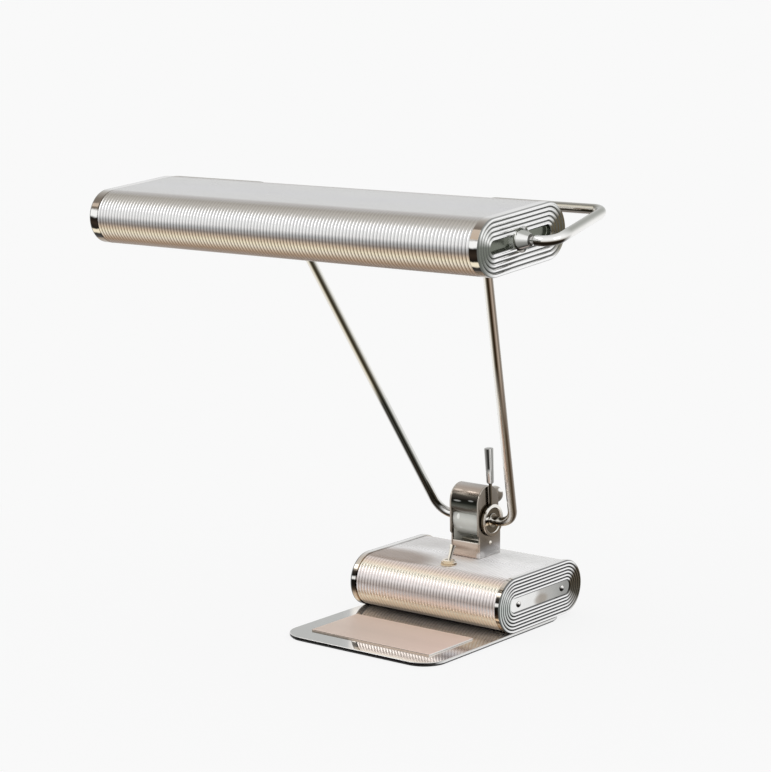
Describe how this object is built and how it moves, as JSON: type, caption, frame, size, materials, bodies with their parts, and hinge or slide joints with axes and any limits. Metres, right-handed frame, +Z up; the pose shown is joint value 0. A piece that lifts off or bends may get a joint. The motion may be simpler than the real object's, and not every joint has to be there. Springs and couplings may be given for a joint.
{
  "type": "desk lamp",
  "caption": "Retro desk lamp: ribbed rounded shade and base housing in polished metal, joined by a bent tube yoke with a hinge, on a flat plate.",
  "frame": {"origin": "on the surface the lamp stands on, under the middle of the base housing", "axes": "+Z up, X along the shade and the housing, -Y towards the front edge of the base plate"},
  "size_m": [0.5024, 0.3599, 0.4286],
  "materials": {
    "felt": "felt",
    "plate_chrome": "mirror polished",
    "hidden_steel": "plain zinc plated",
    "pad_satin": "satin, reflects warm",
    "ribbed_aluminium": "polished ribs",
    "cap_chrome": "polished pressings",
    "bright_screws": "polished",
    "ballast_iron": "raw casting",
    "bracket_metal": "satin chrome",
    "shoe_satin": "satin",
    "barrel_satin": "satin grey",
    "grommet_rubber": "matt black",
    "terminal_plastic": "moulded",
    "phenolic": "moulded brown",
    "switch_metal": "polished, warm",
    "lever_chrome": "polished",
    "tube_chrome": "polished tube",
    "bush_brass": "plain",
    "reflector_white": "white enamel inside",
    "bridge_steel": "plain",
    "bulb_glass": "frosted tube"
  },
  "bodies": {
    "base": {"base_felt": "felt", "base_plate": "plate_chrome", "plate_screws": "hidden_steel", "pad_plate": "pad_satin", "housing_shell": "ribbed_aluminium", "housing_cap_left": "cap_chrome", "housing_cap_right": "cap_chrome", "cap_screws": "bright_screws", "tie_rods": "hidden_steel", "ballast_left": "ballast_iron", "ballast_right": "ballast_iron", "bracket": "bracket_metal", "backing_plate": "hidden_steel", "bracket_screws": "hidden_steel", "bracket_nuts": "hidden_steel", "brake_shoe": "shoe_satin", "cross_pin": "bright_screws", "cord_grommet": "grommet_rubber", "terminal_block": "terminal_plastic", "switch_body": "phenolic", "switch_bushing": "switch_metal", "switch_nut": "switch_metal"},
    "toggle": {"toggle_bat": "switch_metal"},
    "knob": {"tension_knob": "lever_chrome", "tension_screw": "hidden_steel"},
    "lock": {"lock_collar": "lever_chrome", "lock_lever": "lever_chrome"},
    "yoke": {"yoke_tube_left": "tube_chrome", "yoke_tube_right": "tube_chrome", "pivot_barrel": "barrel_satin", "barrel_set_screws": "hidden_steel", "left_collar": "barrel_satin", "cone_ferrule_left": "cap_chrome", "cone_ferrule_right": "cap_chrome", "pivot_stud_left": "hidden_steel", "pivot_stud_right": "hidden_steel", "stud_nut_left": "hidden_steel", "stud_nut_right": "hidden_steel"},
    "shade": {"shade_shell": "ribbed_aluminium", "shade_cap_left": "cap_chrome", "shade_cap_right": "cap_chrome", "pivot_bush_left": "bush_brass", "pivot_bush_right": "bush_brass", "reflector": "reflector_white", "socket_bridge": "bridge_steel", "bridge_rivets": "hidden_steel", "socket_left": "phenolic", "socket_right": "phenolic", "bulb_base_left": "bush_brass", "bulb_base_right": "bush_brass", "bulb_left": "bulb_glass", "bulb_right": "bulb_glass"}
  },
  "joints": [
    {"name": "arm_tilt", "type": "hinge", "parent": "base", "child": "yoke", "pos_m": [0, 0.0155, 0.0924], "axis": [1, 0, 0], "range_deg": [-40, 30]},
    {"name": "shade_turn", "type": "hinge", "parent": "yoke", "child": "shade", "pos_m": [0, -0.22556, 0.40068], "axis": [1, 0, 0], "range_deg": [-120, 120]},
    {"name": "lock_turn", "type": "hinge", "parent": "base", "child": "lock", "pos_m": [0, 0.0155, 0.0924], "axis": [1, 0, 0], "range_deg": [-35, 35]},
    {"name": "tension_turn", "type": "hinge", "parent": "base", "child": "knob", "pos_m": [0, 0.048, 0.1098], "axis": [0, 1, 0], "range_deg": [-180, 180]},
    {"name": "toggle_flip", "type": "hinge", "parent": "base", "child": "toggle", "pos_m": [0.0055, -0.036, 0.058], "axis": [1, 0, 0], "range_deg": [0, 48]}
  ]
}
